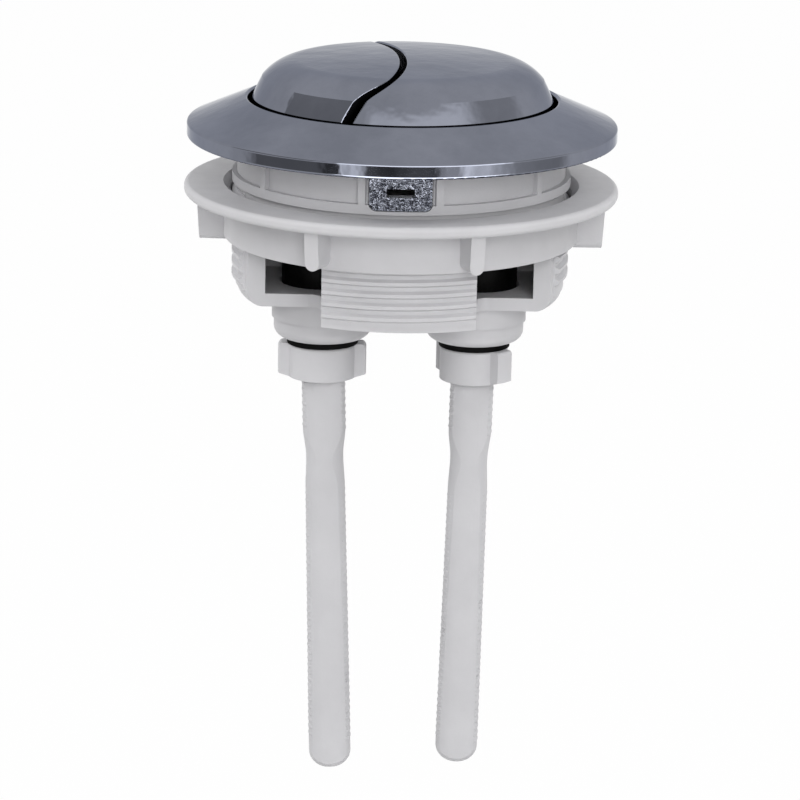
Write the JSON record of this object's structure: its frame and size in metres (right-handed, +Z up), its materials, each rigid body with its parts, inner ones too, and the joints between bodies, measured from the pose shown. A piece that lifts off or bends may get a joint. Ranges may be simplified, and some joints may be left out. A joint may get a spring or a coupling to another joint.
{
  "type": "cistern push button",
  "caption": "Dual-flush push button for a cistern lid: split chrome dome in a chrome bezel, white threaded housing with a lock nut, and push rods below.",
  "frame": {"origin": "centre of the bezel's seat on the lid, at the underside of its rim", "axes": "+Z up out of the lid, -Y to the front, -X to the half-flush side"},
  "size_m": [0.0738, 0.0738, 0.1275],
  "materials": {
    "chrome_plated_abs": "polished chrome plating on ABS, fine grain on the clip fingers",
    "white_plastic": "satin moulded plastic",
    "black_acetal": "satin moulded acetal",
    "black_rubber": "matt moulded rubber",
    "spring_steel": "bright drawn wire"
  },
  "bodies": {
    "housing": {"housing": "white_plastic", "bezel_ring": "chrome_plated_abs", "half_flush_spring": "spring_steel", "full_flush_spring": "spring_steel"},
    "half_flush": {"half_flush_button": "chrome_plated_abs", "half_flush_plunger": "black_acetal", "half_flush_buffer_ring": "black_rubber", "half_flush_rod_nut": "white_plastic"},
    "full_flush": {"full_flush_button": "chrome_plated_abs", "full_flush_plunger": "black_acetal", "full_flush_buffer_ring": "black_rubber", "full_flush_rod_nut": "white_plastic"},
    "half_rod": {"half_flush_rod": "white_plastic"},
    "full_rod": {"full_flush_rod": "white_plastic"},
    "lock_nut": {"lock_nut": "white_plastic"}
  },
  "joints": [
    {"name": "half_flush_press", "type": "slide", "parent": "housing", "child": "half_flush", "axis": [0, 0, -1], "range_m": [0, 0.006], "stiffness_N_per_m": 250, "springref_m": -0.012, "deforming": ["half_flush_spring"]},
    {"name": "full_flush_press", "type": "slide", "parent": "housing", "child": "full_flush", "axis": [0, 0, -1], "range_m": [0, 0.006], "stiffness_N_per_m": 250, "springref_m": -0.012, "deforming": ["full_flush_spring"]},
    {"name": "half_rod_adjust", "type": "slide", "parent": "half_flush", "child": "half_rod", "axis": [0.0297, 0, -0.9996], "range_m": [-0.008, 0.008]},
    {"name": "full_rod_adjust", "type": "slide", "parent": "full_flush", "child": "full_rod", "axis": [-0.0192, 0, -0.9998], "range_m": [-0.008, 0.008]},
    {"name": "lock_nut_travel", "type": "slide", "parent": "housing", "child": "lock_nut", "axis": [0, 0, -1], "range_m": [-0.004, 0.008]}
  ]
}
